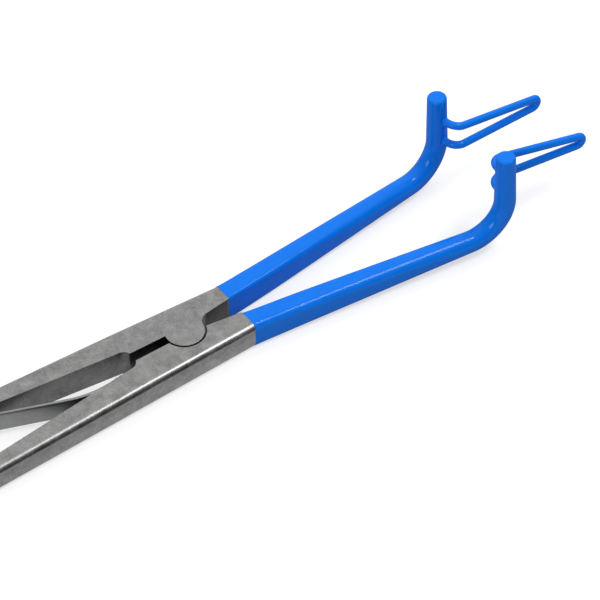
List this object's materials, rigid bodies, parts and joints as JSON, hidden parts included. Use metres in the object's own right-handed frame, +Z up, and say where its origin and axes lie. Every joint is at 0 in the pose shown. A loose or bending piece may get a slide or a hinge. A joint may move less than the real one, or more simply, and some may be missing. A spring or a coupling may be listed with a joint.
{
  "type": "endocervical speculum",
  "caption": "Hand-held surgical spreader: two spring-loaded steel handles on a lap joint open a pair of blue insulated hairpin blades on upturned shanks.",
  "frame": {"origin": "where the pivot axis meets the underside that the instrument rests on", "axes": "+X along the instrument towards the blades, +Z up along the pivot axis and the posts"},
  "size_m": [0.2394, 0.0593, 0.0279],
  "materials": {
    "forged_steel": "satin brushed stainless steel",
    "spring_steel": "satin stainless spring strip",
    "pin_steel": "turned stainless steel",
    "wire_steel": "drawn stainless wire",
    "blue_insulation": "semi-gloss dip-coated nylon"
  },
  "bodies": {
    "lower_arm": {"lower_arm": "forged_steel", "lower_shank_coat": "blue_insulation", "lower_blade_coat": "blue_insulation", "lower_blade_wire": "wire_steel", "leaf_spring": "spring_steel", "leaf_screw": "pin_steel", "ratchet_pin": "pin_steel"},
    "upper_arm": {"upper_arm": "forged_steel", "upper_shank_coat": "blue_insulation", "upper_blade_coat": "blue_insulation", "upper_blade_wire": "wire_steel", "pivot_rivet": "pin_steel"},
    "ratchet_bar": {"ratchet_bar": "forged_steel", "ratchet_stop_pin": "pin_steel"}
  },
  "joints": [
    {"name": "arm_pivot", "type": "hinge", "parent": "lower_arm", "child": "upper_arm", "pos_m": [0, 0, 0.00365], "axis": [0, 0, 1], "range_deg": [-7.6, 9.5], "stiffness_Nm_per_rad": 3, "deforming": ["leaf_spring"]},
    {"name": "ratchet_swing", "type": "hinge", "parent": "lower_arm", "child": "ratchet_bar", "pos_m": [-0.1125, -0.01628, 0.0031], "axis": [0, 0, 1], "range_deg": [-2, 1.3]}
  ]
}
